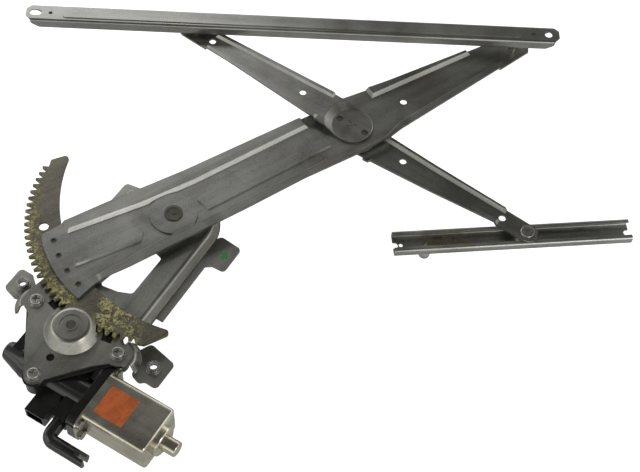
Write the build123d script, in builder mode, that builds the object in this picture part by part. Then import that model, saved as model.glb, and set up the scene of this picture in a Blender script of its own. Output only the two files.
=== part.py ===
"""Electric scissor window regulator, millimetres.

The origin is the lower right bolt hole, on the plane where the base plate meets the door.
X runs along the glass rail, Y towards it, and Z away from the door sheet towards the viewer.
"""
from build123d import *
import os
from math import acos, cos, degrees, pi, radians, sin, tan

os.makedirs("parts", exist_ok=True)

# Scissor linkage
HALF_ARM = 182.0            # pivot to pivot, the same for all four half arms
REST_ANGLE = 33.79          # lift arm above the rail's direction, degrees
PIVOT_X, PIVOT_Y = 6.2, 138.0   # main pivot from the lower right bolt hole
GUIDE_TILT = 6.3            # guide channel against the glass channel, degrees

# Sheet thicknesses
BASE_SHEET = 1.8
LIFT_SHEET = 2.2
HALF_SHEET = 2.0
SECTOR_SHEET = 3.0
RAIL_SHEET = 1.2
GUIDE_SHEET = 1.5

# Stack of heights
PAN_TOP = 11.6
SECTOR_CLEARANCE = 0.7
PAD_GAP = 0.1
LIFT_RISE = 3.5
FRONT_RISE = 2.6
REAR_RISE = 3.2
FRONT_JOG = 5.2
REAR_JOG = 4.6
RAIL_GAP = 0.7
GUIDE_GAP = 0.6
SECTOR_Z = PAN_TOP + SECTOR_CLEARANCE
LIFT_Z = SECTOR_Z + SECTOR_SHEET
LIFT_TOP = LIFT_Z + LIFT_SHEET
REAR_PAD_Z = LIFT_Z - PAD_GAP - HALF_SHEET
FRONT_PAD_Z = LIFT_TOP + PAD_GAP
REAR_Z = REAR_PAD_Z - REAR_JOG
FRONT_Z = FRONT_PAD_Z + FRONT_JOG

# Channels and what runs in them
RAIL_WIDTH, RAIL_DEPTH, RAIL_LIP = 19.2, 10.7, 4.4
RAIL_LEFT, RAIL_RIGHT = -148.5, 343.0
GUIDE_WIDTH, GUIDE_DEPTH, GUIDE_LIP = 21.3, 8.5, 4.2
GUIDE_LEFT, GUIDE_RIGHT = -116.0, 92.0
ROLLER_SIDE_GAP = 0.3
ROLLER_END_GAP = 0.45
SLIDER_END_GAP = 0.3
RAIL_Z = FRONT_Z + HALF_SHEET + FRONT_RISE + RAIL_GAP
RAIL_TOP = RAIL_Z + RAIL_DEPTH
GUIDE_TOP = REAR_Z - GUIDE_GAP
GUIDE_Z = GUIDE_TOP - GUIDE_DEPTH

# Teeth
MODULE = 25.4 / 12
PRESSURE_ANGLE = 20.0
FULL_CIRCLE_TEETH = 116
SECTOR_TEETH = 33
FIRST_TOOTH = 158.54
PINION_TEETH = 10
PINION_ANGLE = -123.0
BACKLASH = 0.3
SECTOR_PITCH_R = MODULE * FULL_CIRCLE_TEETH / 2
PINION_PITCH_R = MODULE * PINION_TEETH / 2
SECTOR_TIP_R = SECTOR_PITCH_R + MODULE
SECTOR_ROOT_R = SECTOR_PITCH_R - 1.25 * MODULE

# Main pivot and cross pivot
PIVOT_R = 6.0
RUNNING = 0.05
HUB_R = 16.5
HUB_RIVET_SPACING = 26.7
EMBOSS_R = 20.5
EMBOSS_RISE = 1.2

# Press work
WALL_LEAN = 35.0            # pressed walls lean this far from upright, degrees
ARM_CORNER = 1.6
PRESS_DIMPLE = 0.8


def polar(radius, angle):
    return (radius * cos(radians(angle)), radius * sin(radians(angle)))


def level(x, y, z=0.0, turn=0.0):
    """Level plane at a point given from the main pivot, its x axis turned from the rail's."""
    return Plane(origin=(PIVOT_X + x, PIVOT_Y + y, z),
                 x_dir=(cos(radians(turn)), sin(radians(turn)), 0), z_dir=(0, 0, 1))


def upright(x, y, turn=0.0):
    """Upright plane through the same point: x along the turned direction, y upwards."""
    return Plane(origin=(PIVOT_X + x, PIVOT_Y + y, 0),
                 x_dir=(cos(radians(turn)), sin(radians(turn)), 0),
                 z_dir=(sin(radians(turn)), -cos(radians(turn)), 0))


def vertical_axis(x, y):
    return Axis((PIVOT_X + x, PIVOT_Y + y, 0), (0, 0, 1))


def cross_section(x, y, z, turn):
    """Plane square to the turned direction: x to its left, y upwards."""
    heading = (cos(radians(turn)), sin(radians(turn)), 0)
    left = (-heading[1], heading[0], 0)
    return Plane(origin=(PIVOT_X + x, PIVOT_Y + y, z), x_dir=left, z_dir=heading)


CROSS = polar(HALF_ARM, REST_ANGLE)
FRONT_END = polar(2 * HALF_ARM, REST_ANGLE)
REAR_END = (0.0, FRONT_END[1])
GUIDE_END = (FRONT_END[0], 0.0)
PINION = polar(SECTOR_PITCH_R + PINION_PITCH_R, PINION_ANGLE)


def save(part, name):
    part.label = name
    export_step(part, f"parts/{name}.step")


def tooth_half_angle(teeth, radius):
    """Half the angle that an involute tooth takes up at a radius, in degrees."""
    pitch_r = MODULE * teeth / 2
    base_r = pitch_r * cos(radians(PRESSURE_ANGLE))
    lead = radians(PRESSURE_ANGLE)
    roll = acos(min(1.0, base_r / radius))
    involute = (tan(lead) - lead) - (tan(roll) - roll)
    return degrees(pi / (2 * teeth) + involute - BACKLASH / 2 / pitch_r)


def tooth_points(teeth, centre, radii):
    """One tooth seen from the gear's axis, up one flank and down the other."""
    rising = [polar(r, centre - tooth_half_angle(teeth, r)) for r in radii]
    falling = [polar(r, centre + tooth_half_angle(teeth, r)) for r in reversed(radii)]
    return rising + falling


def rounded_face(outline, corner):
    """Face inside an outline, with every corner rounded."""
    with BuildSketch() as face:
        Polygon(*outline, align=None)
        fillet(face.vertices(), corner)
    return face.sketch


def pressed_sheet(frame, outline, pocket, thickness, rise):
    """Stamped arm: a flat web with its rim pressed up; frame is the underside of the web."""
    lean = radians(WALL_LEAN)
    under_wall = thickness * (1 - sin(lean)) / cos(lean)
    with BuildPart() as under_rim:
        with BuildSketch(frame):
            add(rounded_face(outline, ARM_CORNER))
        extrude(amount=rise)
        with BuildSketch(frame):
            Polygon(*pocket, align=None)
            offset(amount=under_wall, kind=Kind.INTERSECTION)
        extrude(amount=rise, taper=-WALL_LEAN, mode=Mode.SUBTRACT)
    with BuildPart() as blank:
        with BuildSketch(frame):
            add(rounded_face(outline, ARM_CORNER))
        extrude(amount=thickness + rise)
        with BuildSketch(frame.offset(thickness)):
            Polygon(*pocket, align=None)
        extrude(amount=rise, taper=-WALL_LEAN, mode=Mode.SUBTRACT)
        add(under_rim.part, mode=Mode.SUBTRACT)
    return blank.part


def joggled_pad(x, y, turn, radius, neck, pad_z, web_z, thickness):
    """Flat round pad, dished away from the arm's web by a cone round its own centre."""
    ramp_start, ramp_end, joined = neck
    with BuildPart() as pad:
        with BuildSketch(upright(x, y, turn)):
            Polygon((0, pad_z), (ramp_start, pad_z), (ramp_end, web_z), (joined, web_z),
                    (joined, web_z + thickness), (ramp_end, web_z + thickness),
                    (ramp_start, pad_z + thickness), (0, pad_z + thickness), align=None)
        revolve(axis=vertical_axis(x, y))
        with BuildSketch(level(x, y, min(pad_z, web_z), turn)):
            Circle(radius)
            Polygon((0, -radius), (joined, -radius * 0.9), (joined, radius * 0.9), (0, radius),
                    align=None)
        extrude(amount=abs(web_z - pad_z) + thickness, mode=Mode.INTERSECT)
    return pad.part


def folded_sheet(points, bend, sheet):
    """Section of a folded sheet: its outer line with rounded bends, thickened to the left."""
    with BuildSketch() as section:
        with BuildLine():
            FilletPolyline(*points, radius=bend)
            offset(amount=sheet, side=Side.LEFT)
        make_face()
    return section.sketch


def end_arc(length, radius, first, last, steps=8):
    """Round end of an arm, as points on its radius from one angle to the other."""
    turn = (last - first) / steps
    return [(length + polar(radius, first + i * turn)[0], polar(radius, first + i * turn)[1])
            for i in range(steps + 1)]


# Sector gear: teeth on the outside, a horn at each end and a round inner edge
HORN_UPPER = (-93.6, 60.6)
HORN_LOWER = (9.6, -112.0)
HORN_ROUND = 3.2
SECTOR_INNER_R = 91.4
SECTOR_HOLE_R, SECTOR_HOLE = 4.2, (-107.3, -15.7)
PLAIN_RIM_R = SECTOR_TIP_R + 0.8
PLAIN_UPPER, PLAIN_LOWER, RUN_OUT = 154.1, 263.5, 3.2
RIVET_R, RIVET_IN, RIVET_PROUD = 2.6, 10.3, 0.3
RIVET_CIRCLE_R = SECTOR_INNER_R + RIVET_IN
RIVET_DIMPLE_R, RIVET_DIMPLE = 1.7, 1.2
RIVET_ANGLES = [-16.1, -7.3, 2.0, 11.3]
TOOTH_STEP = 360 / FULL_CIRCLE_TEETH
FLANKS = [SECTOR_ROOT_R, SECTOR_PITCH_R, SECTOR_TIP_R]
rivet_places = [polar(RIVET_CIRCLE_R, 180 + REST_ANGLE + angle) for angle in RIVET_ANGLES]
rim_points = [HORN_UPPER, polar(SECTOR_ROOT_R + MODULE, PLAIN_UPPER)]
for tooth in range(SECTOR_TEETH):
    rim_points += tooth_points(FULL_CIRCLE_TEETH, FIRST_TOOTH + tooth * TOOTH_STEP, FLANKS)
rim_points += [polar(PLAIN_RIM_R, PLAIN_LOWER - RUN_OUT), polar(PLAIN_RIM_R, PLAIN_LOWER), HORN_LOWER]
with BuildPart() as sector_gear:
    with BuildSketch(level(0, 0, SECTOR_Z)) as sector_face:
        with BuildLine():
            Polyline(*rim_points)
            ThreePointArc(rim_points[-1], polar(SECTOR_INNER_R, 180 + REST_ANGLE), rim_points[0])
        make_face()
        for horn in (HORN_UPPER, HORN_LOWER):
            fillet(sector_face.vertices().sort_by_distance(horn)[0], HORN_ROUND)
        with Locations(SECTOR_HOLE):
            Circle(SECTOR_HOLE_R, mode=Mode.SUBTRACT)
        with Locations(*rivet_places):
            Circle(RIVET_R, mode=Mode.SUBTRACT)
    extrude(amount=SECTOR_SHEET)
save(sector_gear.part, "sector_gear")

# Lift arm, drawn along its own centre line
LIFT_END_MARGIN = 9.3
LIFT_END_R = RIVET_CIRCLE_R + LIFT_END_MARGIN
LIFT_END_FROM, LIFT_END_TO, LIFT_END_STEP = 161, 197, 6
NECK_UPPER = (8.4 - LIFT_END_R, 38.5)
NECK_LOWER = (8.3 - LIFT_END_R, -30.8)
RIM_BREAK = 34.0
STUD_R = 3.5
lift_outline = ([polar(LIFT_END_R, LIFT_END_FROM), NECK_UPPER, (-85, 39.3), (-40, 37.5),
                 (-12, 35.5), (29, 33), (HALF_ARM - 27, 30.5), (HALF_ARM + 11, 31.4), (HALF_ARM + 58, 25.6),
                 (2 * HALF_ARM - 32, 18.1)]
                + end_arc(2 * HALF_ARM, 15.5, 83, -45)
                + [(HALF_ARM + 37, -25.6), (HALF_ARM + 24, -28), (HALF_ARM - 14, -29),
                   (HALF_ARM - 68, -27), (59, -28), (-57, -28), (-87.6, -26.3), NECK_LOWER,
                   polar(LIFT_END_R, LIFT_END_TO)]
                + [polar(LIFT_END_R, 195 - LIFT_END_STEP * i) for i in range(6)])
lift_pocket = [(-140, 60), (-85, 60), (-85, 28.3), (-16, 20), (32, 18), (HALF_ARM - RIM_BREAK, 19),
               (HALF_ARM - RIM_BREAK, 60), (HALF_ARM + RIM_BREAK, 60),
               (HALF_ARM + RIM_BREAK, 17.8), (2 * HALF_ARM - 39, 13.9), (2 * HALF_ARM - 39, 60),
               (2 * HALF_ARM + 40, 60), (2 * HALF_ARM + 40, -60), (2 * HALF_ARM - 24, -60),
               (2 * HALF_ARM - 24, -6.5), (HALF_ARM + 40, -17), (HALF_ARM + 20, -24),
               (HALF_ARM - 20, -24), (HALF_ARM - 40, -18.5), (-22, -17), (-84, -19.8),
               (-84, -60), (-140, -60)]
# Bead outlines run anticlockwise, because their taper rises on the left of the way round
BEADS = [[(-94, -4), (-37, -11), (-30, -4.5), (-33, 4), (-95, 3)],
         [(27.2, -11.9), (154.7, -9.5), (152.4, 11.9), (30.4, 4.8), (23, 1.6)]]
BEAD_RISE, BEAD_ROUND, BEAD_LEAN = 2.0, 2.5, 30.0
LIFT_HOLE_R, LIFT_HOLE_ALONG = 3.3, 56.7
with BuildPart() as lift_arm:
    add(pressed_sheet(level(0, 0, LIFT_Z, REST_ANGLE), lift_outline, lift_pocket, LIFT_SHEET,
                      LIFT_RISE))
    for bead in BEADS:
        with BuildSketch(level(0, 0, LIFT_TOP, REST_ANGLE)):
            add(rounded_face(bead, BEAD_ROUND))
        extrude(amount=BEAD_RISE, taper=BEAD_LEAN)
        with BuildSketch(level(0, 0, LIFT_Z, REST_ANGLE)):
            add(rounded_face(bead, BEAD_ROUND))
            offset(amount=-LIFT_SHEET * tan(radians(BEAD_LEAN)), mode=Mode.REPLACE)
        extrude(amount=BEAD_RISE, taper=BEAD_LEAN, mode=Mode.SUBTRACT)
    with BuildSketch(level(0, 0, LIFT_Z)):
        Circle(EMBOSS_R)
    extrude(amount=LIFT_SHEET + EMBOSS_RISE)
    with BuildSketch(level(0, 0, LIFT_Z)):
        Circle(EMBOSS_R - LIFT_SHEET / 2)
    extrude(amount=EMBOSS_RISE, mode=Mode.SUBTRACT)
    with BuildSketch(level(0, 0, LIFT_Z)):
        Circle(PIVOT_R + RUNNING)
        with Locations(CROSS):
            Circle(HUB_R + RUNNING)
        with Locations(FRONT_END):
            Circle(STUD_R)
        with Locations(polar(HALF_ARM + LIFT_HOLE_ALONG, REST_ANGLE)):
            Circle(LIFT_HOLE_R)
        with Locations(*rivet_places):
            Circle(RIVET_R)
    extrude(amount=LIFT_SHEET + LIFT_RISE, mode=Mode.SUBTRACT)
save(lift_arm.part, "lift_arm")

with BuildPart() as sector_rivets:
    with BuildSketch(level(0, 0, SECTOR_Z)):
        with Locations(*rivet_places):
            Circle(RIVET_R)
    extrude(amount=LIFT_TOP + RIVET_PROUD - SECTOR_Z)
    with BuildSketch(level(0, 0, LIFT_TOP + RIVET_PROUD)):
        with Locations(*rivet_places):
            Circle(RIVET_DIMPLE_R)
    extrude(amount=-RIVET_DIMPLE, mode=Mode.SUBTRACT)
save(sector_rivets.part, "sector_rivets")

# Cross pivot: disc running in the lift arm, riveted between the two half arms
FRONT_TURN = 180 - REST_ANGLE
REAR_TURN = -REST_ANGLE
PAD_R = 18.5
hub_rivet_places = [(CROSS[0] + s * polar(HUB_RIVET_SPACING / 2, FRONT_TURN)[0],
                     CROSS[1] + s * polar(HUB_RIVET_SPACING / 2, FRONT_TURN)[1]) for s in (-1, 1)]
HUB_RIVET_R = 3.2
STAKE_LENGTH, STAKE_WIDTH = 9.5, 2.0
with BuildPart() as cross_hub:
    with BuildSketch(level(0, 0, REAR_PAD_Z + HALF_SHEET)):
        with Locations(CROSS):
            Circle(HUB_R)
        with Locations(*hub_rivet_places):
            Circle(HUB_RIVET_R, mode=Mode.SUBTRACT)
    extrude(amount=FRONT_PAD_Z - REAR_PAD_Z - HALF_SHEET)
save(cross_hub.part, "cross_hub")

with BuildPart() as hub_rivets:
    with BuildSketch(level(0, 0, REAR_PAD_Z)):
        with Locations(*hub_rivet_places):
            Circle(HUB_RIVET_R)
    extrude(amount=FRONT_PAD_Z + HALF_SHEET - PRESS_DIMPLE - REAR_PAD_Z)
save(hub_rivets.part, "hub_rivets")

front_outline = ([(24, -17.2), (HALF_ARM - 31, -12.2), (HALF_ARM - 4, -9.4)]
                 + end_arc(HALF_ARM, 9.2, -80, 80)
                 + [(HALF_ARM - 52, 10.7), (37, 17.5), (24, 16.6)])
front_pocket = [(10, -40), (29, -40), (29, -12), (HALF_ARM - 25, -7), (HALF_ARM - 25, -40),
                (HALF_ARM + 30, -40), (HALF_ARM + 30, 40), (HALF_ARM - 25, 40),
                (HALF_ARM - 25, 4.8), (HALF_ARM - 52, 5.7), (37, 12.5), (29, 12), (29, 40),
                (10, 40)]
rear_outline = ([(24, -19.5), (93, -15), (HALF_ARM - 22, -9), (HALF_ARM - 4, -10),
                 (HALF_ARM + 5, -8), (HALF_ARM + 9, -5), (HALF_ARM + 8, 6), (HALF_ARM, 8.3),
                 (82, 11.7), (33, 14.3), (24, 15)])
rear_pocket = [(10, -40), (29, -40), (29, -14), (HALF_ARM - 25, -3.6), (HALF_ARM - 25, -40),
               (HALF_ARM + 30, -40), (HALF_ARM + 30, 40), (HALF_ARM - 25, 40),
               (HALF_ARM - 25, 5.2), (82, 7), (29, 9.6), (29, 40), (10, 40)]
NECK = (18.0, 25.0, 31.0)
HALF_HOLE_R = 3.2
FRONT_HOLES = [(54.7, -1.5), (HALF_ARM - 26.1, -1.0)]
REAR_HOLES = [(55.2, 0), (HALF_ARM - 24.9, 0)]
for name, turn, outline, pocket, pad_z, web_z, rise, stud_at, holes in (
        ("front_half_arm", FRONT_TURN, front_outline, front_pocket, FRONT_PAD_Z, FRONT_Z,
         FRONT_RISE, REAR_END, FRONT_HOLES),
        ("rear_half_arm", REAR_TURN, rear_outline, rear_pocket, REAR_PAD_Z, REAR_Z,
         REAR_RISE, GUIDE_END, REAR_HOLES)):
    with BuildPart() as half_arm:
        add(pressed_sheet(level(*CROSS, web_z, turn), outline, pocket, HALF_SHEET, rise))
        add(joggled_pad(*CROSS, turn, PAD_R, NECK, pad_z, web_z, HALF_SHEET))
        with BuildSketch(level(0, 0, min(pad_z, web_z))):
            with Locations(*hub_rivet_places):
                Circle(HUB_RIVET_R)
            with Locations(stud_at):
                Circle(STUD_R)
        extrude(amount=abs(pad_z - web_z) + HALF_SHEET, mode=Mode.SUBTRACT)
        with BuildSketch(level(*CROSS, web_z, turn)):
            with Locations(*holes):
                Circle(HALF_HOLE_R)
        extrude(amount=HALF_SHEET, mode=Mode.SUBTRACT)
        if pad_z == FRONT_PAD_Z:
            with BuildSketch(level(*CROSS, FRONT_PAD_Z + HALF_SHEET, turn)):
                for stake_turn in (-45, 45):
                    SlotOverall(STAKE_LENGTH, STAKE_WIDTH, rotation=stake_turn)
            extrude(amount=-PRESS_DIMPLE, mode=Mode.SUBTRACT)
    save(half_arm.part, name)

# Studs, rollers and slider
ROLLER_R = RAIL_WIDTH / 2 - RAIL_SHEET - ROLLER_SIDE_GAP
ROLLER_Z = RAIL_Z + RAIL_SHEET + ROLLER_END_GAP
ROLLER_HEIGHT = RAIL_DEPTH - 2 * RAIL_SHEET - 2 * ROLLER_END_GAP
SHOULDER_OUT, SHOULDER_GAP = 1.2, 0.2
GUIDE_HEAD_OUT, GUIDE_HEAD = 2.5, 1.6
SLIDER_SIDE_GAP = 0.35
SLIDER_R = GUIDE_WIDTH / 2 - GUIDE_SHEET - SLIDER_SIDE_GAP
SLIDER_Z = GUIDE_Z + GUIDE_SHEET + SLIDER_END_GAP
SLIDER_HEIGHT = GUIDE_DEPTH - 2 * GUIDE_SHEET - 2 * SLIDER_END_GAP
for name, place, foot, web_top in (
        ("front_roller_stud", FRONT_END, LIFT_Z, LIFT_TOP),
        ("rear_roller_stud", REAR_END, FRONT_Z, FRONT_Z + HALF_SHEET)):
    with BuildPart() as stud:
        with BuildSketch(level(*place, foot)):
            Circle(STUD_R)
        extrude(amount=ROLLER_Z + ROLLER_HEIGHT - foot)
        with BuildSketch(level(*place, web_top)):
            Circle(STUD_R + SHOULDER_OUT)
        extrude(amount=ROLLER_Z - SHOULDER_GAP - web_top)
    save(stud.part, name)
for name, place in (("glass_roller_front", FRONT_END), ("glass_roller_rear", REAR_END)):
    with BuildPart() as roller:
        with BuildSketch(level(*place, ROLLER_Z)):
            Circle(ROLLER_R)
            Circle(STUD_R + RUNNING, mode=Mode.SUBTRACT)
        extrude(amount=ROLLER_HEIGHT)
    save(roller.part, name)
with BuildPart() as guide_stud:
    with BuildSketch(level(*GUIDE_END, SLIDER_Z)):
        Circle(STUD_R)
    extrude(amount=REAR_Z + HALF_SHEET - SLIDER_Z)
    with BuildSketch(level(*GUIDE_END, REAR_Z + HALF_SHEET)):
        Circle(STUD_R + GUIDE_HEAD_OUT)
    extrude(amount=GUIDE_HEAD)
    fillet(guide_stud.edges().group_by(Axis.Z)[-1], GUIDE_HEAD / 2)
save(guide_stud.part, "guide_stud")
with BuildPart() as guide_slider:
    with BuildSketch(level(*GUIDE_END, SLIDER_Z)):
        Circle(SLIDER_R)
        Circle(STUD_R + RUNNING, mode=Mode.SUBTRACT)
    extrude(amount=SLIDER_HEIGHT)
save(guide_slider.part, "guide_slider")


def lipped_channel(plane, length, width, depth, lip, sheet, lips_up):
    """Folded channel with inturned lips, run along the plane's normal."""
    side, web, mouth = (-1, 0, depth) if lips_up else (1, depth, 0)
    half = width / 2
    with BuildPart() as channel:
        with BuildSketch(plane):
            add(folded_sheet([(side * (half - lip), mouth), (side * half, mouth),
                              (side * half, web), (-side * half, web), (-side * half, mouth),
                              (-side * (half - lip), mouth)], CHANNEL_BEND, sheet))
        extrude(amount=length)
    return channel.part


CHANNEL_BEND = 2.4
RAIL_CORNER, RAIL_END_TAPER = 5.5, 14.0
PANEL_LEFT, PANEL_RIGHT, PANEL_HALF, PANEL_RISE = -114.8, 306.5, 6.1, 0.9
PANEL_OFF, PANEL_ROUND, PANEL_WALL = 0.7, 3.0, 1.0
RAIL_SLOT_LENGTH, RAIL_SLOT_WIDTH, RAIL_SLOT_IN = 11.0, 6.5, 8.8
PIN_HOLE_R, RAIL_PIN_HOLE_IN, GUIDE_PIN_HOLE_IN = 1.8, 22.2, 7.0
GLASS_HOLE_R, GLASS_HOLE_IN = 3.5, 10.1
FLAP_LENGTH, FLAP_WIDTH, FLAP_IN = 5.0, 2.6, 24.2
with BuildPart() as glass_channel:
    add(lipped_channel(cross_section(RAIL_LEFT, REAR_END[1], RAIL_Z, 0), RAIL_RIGHT - RAIL_LEFT,
                       RAIL_WIDTH, RAIL_DEPTH, RAIL_LIP, RAIL_SHEET, lips_up=False))
    with BuildSketch(level(0, REAR_END[1], RAIL_Z)) as rail_plan:
        with Locations(((RAIL_LEFT + RAIL_RIGHT) / 2, 0)):
            Rectangle(RAIL_RIGHT - RAIL_LEFT, RAIL_WIDTH)
        chamfer(rail_plan.vertices(), RAIL_CORNER)
    extrude(amount=RAIL_DEPTH, mode=Mode.INTERSECT)
    with BuildSketch(upright(0, REAR_END[1])):
        Polygon((RAIL_LEFT, RAIL_TOP), (RAIL_LEFT, RAIL_TOP - RAIL_SHEET),
                (RAIL_LEFT + RAIL_END_TAPER, RAIL_Z), (RAIL_RIGHT - RAIL_END_TAPER, RAIL_Z),
                (RAIL_RIGHT, RAIL_TOP - RAIL_SHEET), (RAIL_RIGHT, RAIL_TOP), align=None)
    extrude(amount=RAIL_WIDTH, both=True, mode=Mode.INTERSECT)
    panel_middle = (PANEL_LEFT + PANEL_RIGHT) / 2
    with BuildSketch(level(panel_middle, REAR_END[1] + PANEL_OFF, RAIL_TOP)):
        RectangleRounded(PANEL_RIGHT - PANEL_LEFT, 2 * PANEL_HALF, PANEL_ROUND)
    extrude(amount=PANEL_RISE)
    with BuildSketch(level(panel_middle, REAR_END[1] + PANEL_OFF, RAIL_TOP - RAIL_SHEET)):
        RectangleRounded(PANEL_RIGHT - PANEL_LEFT - 2 * PANEL_WALL, 2 * (PANEL_HALF - PANEL_WALL),
                         PANEL_ROUND - PANEL_WALL)
    extrude(amount=PANEL_RISE, mode=Mode.SUBTRACT)
    with BuildSketch(level(0, REAR_END[1], RAIL_TOP - RAIL_SHEET)):
        with Locations((RAIL_LEFT + RAIL_SLOT_IN, 0)):
            SlotOverall(RAIL_SLOT_LENGTH, RAIL_SLOT_WIDTH)
        with Locations((RAIL_LEFT + RAIL_PIN_HOLE_IN, 0)):
            Circle(PIN_HOLE_R)
        with Locations((RAIL_RIGHT - GLASS_HOLE_IN, 0)):
            Circle(GLASS_HOLE_R)
        with Locations((RAIL_RIGHT - FLAP_IN, 0)):
            RectangleRounded(FLAP_LENGTH, FLAP_WIDTH, FLAP_WIDTH / 3)
    extrude(amount=RAIL_SHEET, mode=Mode.SUBTRACT)
save(glass_channel.part, "glass_channel")

STANDOFF_ALONG, STANDOFF_LENGTH, STANDOFF_R, STANDOFF_BORE_R = -87.0, 15.0, 5.0, 2.6
NOTCH_LENGTH, NOTCH_WIDTH = 9.0, 6.0
guide_start = polar(GUIDE_LEFT, GUIDE_TILT)
with BuildPart() as guide_channel:
    add(lipped_channel(cross_section(GUIDE_END[0] + guide_start[0], guide_start[1], GUIDE_Z,
                                     GUIDE_TILT), GUIDE_RIGHT - GUIDE_LEFT, GUIDE_WIDTH,
                       GUIDE_DEPTH, GUIDE_LIP, GUIDE_SHEET, lips_up=True))
    with BuildSketch(level(*GUIDE_END, GUIDE_Z, GUIDE_TILT)):
        with Locations((GUIDE_LEFT + GUIDE_PIN_HOLE_IN, 0)):
            Circle(PIN_HOLE_R)
        with Locations((STANDOFF_ALONG, 0)):
            Circle(STANDOFF_BORE_R)
        with Locations((GUIDE_LEFT, 0), (GUIDE_RIGHT, 0)):
            SlotOverall(NOTCH_LENGTH, NOTCH_WIDTH)
    extrude(amount=GUIDE_SHEET, mode=Mode.SUBTRACT)
save(guide_channel.part, "guide_channel")
with BuildPart() as guide_standoffs:
    with BuildSketch(level(*GUIDE_END, GUIDE_Z, GUIDE_TILT)):
        with Locations((STANDOFF_ALONG, 0)):
            Circle(STANDOFF_R)
            Circle(STANDOFF_BORE_R, mode=Mode.SUBTRACT)
    extrude(amount=-STANDOFF_LENGTH)
save(guide_standoffs.part, "guide_standoffs")

# Base plate: a pan on a drawn wall, with a flange and four tabs on the door plane
PAN_Z = PAN_TOP - BASE_SHEET
PAN_R = 33.0
WALL_RUN = 4.1
WALL_TURN = 240.0
FLANGE_OUT = 45.5
FLANGE_TO, WALL_TO = 84.0, 106.0
SCREWS = [(-104.5, -86.0), (-98.0, -152.7), (-34.3, -131.8)]
LOBE_R, CORNER_LOBE_R = 12.5, 8.0
DOOR_BOLTS = [(-PIVOT_X, -PIVOT_Y), (-119.5, -65.5), (-38.0, 26.0)]
BOLT_BORE_R, NUT_HEIGHT, NUT_COLLAR_R, NUT_FLANGE_R, NUT_FLANGE = 3.3, 4.5, 4.9, 6.4, 1.3
SCREW_R = 3.0
SCREW_CLEARANCE = 0.3
PRESS_BEND = 2.4
WALL_LAP, WALL_INSET, WALL_RIM = 3.0, 2.0, 2.2
# Stretches of the wall that turn round a centre: radius, first angle and swept angle
WALL_SWEEPS = [((0, 0), PAN_R, -30, 200), (SCREWS[2], LOBE_R, -40, 100),
               (SCREWS[0], LOBE_R, 60, 140)]
PAN_EDGE = [(26.9, -15.5), (-31.7, -117), (-26, -144.7), (-36.3, -139.6), (-54.3, -143),
            (-89.7, -156.4), (-92.5, -160.2), (-103.6, -157), (-106, -151.5), (-109, -120.3),
            (-109.8, -97.7), (-113, -90), (-113.3, -77.8), (-24.1, 22.5)]
PAN_CORNER, TAB_CORNER, WINDOW_CORNER = 3.0, 3.8, 3.4
PAN_HOLE_R, PAN_HOLE = 3.3, (-87.0, -136.7)
TABS = [
    [(36, -14), (41, -10.8), (58.3, -22.9), (44.8, -46.0), (34.8, -40.7), (20, -42)],
    [(-9.5, -116.5), (10.4, -134.3), (-2.8, -156.5), (-12.3, -150.5), (-16.9, -151.8),
     (-23.8, -144.3), (-18, -135), (-19.5, -123)],
    [(-134.4, -68.5), (-123.2, -49.4), (-112.5, -55.8), (-107.4, -69.8), (-118.8, -77.8),
     (-124.3, -79)],
    [(-56.3, 22.2), (-44.7, 41.1), (-32.5, 36.3), (-20, 32.2), (-28, 25), (-36, 10), (-52, 14)]]
WINDOW = [(-7, -41), (-28, -76), (-40, -74.5), (-56.5, -68.1), (-20, -28)]
DOME_BASE_R, DOME_CAP_R, DOME_TOP = 21.5, 14.3, 21.4
DISH_INNER_R, DISH_OUTER_R = 5.5, 9.3
PINION_PIN_R = 4.0
TOOTH_CLEARANCE = 1.5
SLOT_INNER_R, SLOT_REACH = 108.0, 14.5
SLOT_OUTER_R = SECTOR_TIP_R + 3 * TOOTH_CLEARANCE


def drawn_wall(radius, flange=0.0):
    """Section of the drawn wall, from the pan's edge down to the door plane."""
    foot = radius + WALL_RUN
    return folded_sheet([(radius - WALL_LAP, PAN_Z), (radius, PAN_Z), (foot, 0),
                         (foot + WALL_RIM + flange, 0)], PRESS_BEND, BASE_SHEET)


with BuildPart() as dome:
    with BuildSketch(upright(*PINION)):
        add(folded_sheet([(PINION_PIN_R + RUNNING, DOME_TOP - BASE_SHEET),
                          (DOME_CAP_R, DOME_TOP - BASE_SHEET), (DOME_BASE_R, PAN_Z),
                          (DOME_BASE_R + WALL_LAP, PAN_Z)], PRESS_BEND, BASE_SHEET))
    revolve(axis=vertical_axis(*PINION))
    with BuildSketch(level(*PINION, DOME_TOP)):
        Circle(DISH_OUTER_R)
        Circle(DISH_INNER_R, mode=Mode.SUBTRACT)
    extrude(amount=-PRESS_DIMPLE, mode=Mode.SUBTRACT)
    with BuildSketch(level(0, 0, PAN_TOP)):
        Circle(SECTOR_TIP_R + TOOTH_CLEARANCE)
    extrude(amount=2 * SECTOR_CLEARANCE + SECTOR_SHEET, mode=Mode.SUBTRACT)

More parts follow.
